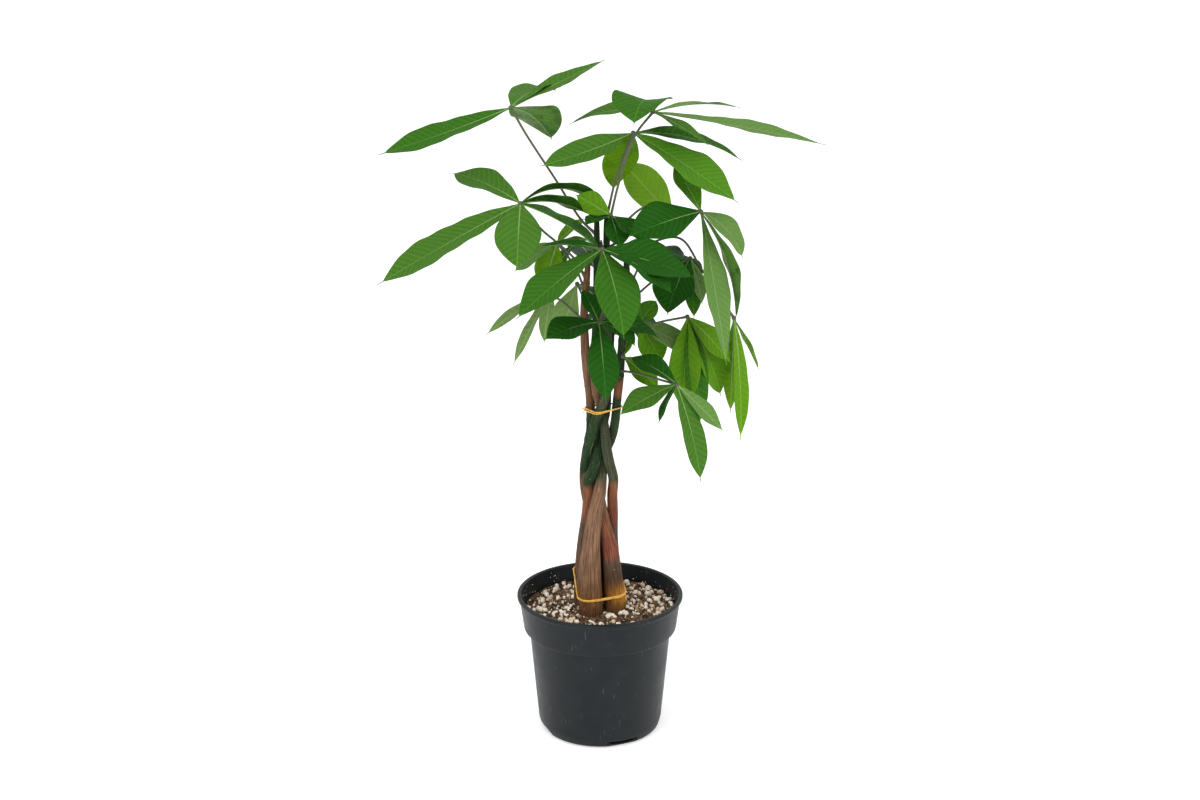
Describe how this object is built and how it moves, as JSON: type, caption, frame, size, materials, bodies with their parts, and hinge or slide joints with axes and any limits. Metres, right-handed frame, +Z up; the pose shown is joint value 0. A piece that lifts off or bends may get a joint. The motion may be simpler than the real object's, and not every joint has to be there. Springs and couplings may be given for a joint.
{
  "type": "potted money tree",
  "caption": "Young money tree with a plaited trunk and a crown of hand-shaped leaves, in a round plastic nursery pot of soil.",
  "frame": {"origin": "centre of the pot's underside, where it rests", "axes": "+Z up along the trunk; -Y is the side seen in the reference view, +X to its right"},
  "size_m": [0.4165, 0.2767, 0.6572],
  "materials": {
    "pot_plastic": "matte charcoal, a little dusty",
    "soil": "rough potting soil with pale perlite",
    "bark": "dull young bark, brown below and green above",
    "raffia": "golden raffia",
    "leaf": "smooth living leaf, soft sheen"
  },
  "bodies": {
    "root": {"pot": "pot_plastic", "soil": "soil", "trunk_1": "bark", "trunk_2": "bark", "trunk_3": "bark", "trunk_4": "bark", "trunk_5": "bark", "tie_upper": "raffia", "tie_lower": "raffia", "leaf_01": "leaf", "leaf_02": "leaf", "leaf_03": "leaf", "leaf_04": "leaf", "leaf_05": "leaf", "leaf_06": "leaf", "leaf_07": "leaf", "leaf_08": "leaf", "leaf_09": "leaf", "leaf_10": "leaf", "leaf_11": "leaf", "leaf_12": "leaf", "leaf_13": "leaf", "leaf_14": "leaf", "leaf_15": "leaf", "leaf_16": "leaf", "leaf_17": "leaf", "leaf_18": "leaf", "leaf_19": "leaf", "leaf_20": "leaf", "leaf_21": "leaf"}
  },
  "joints": []
}
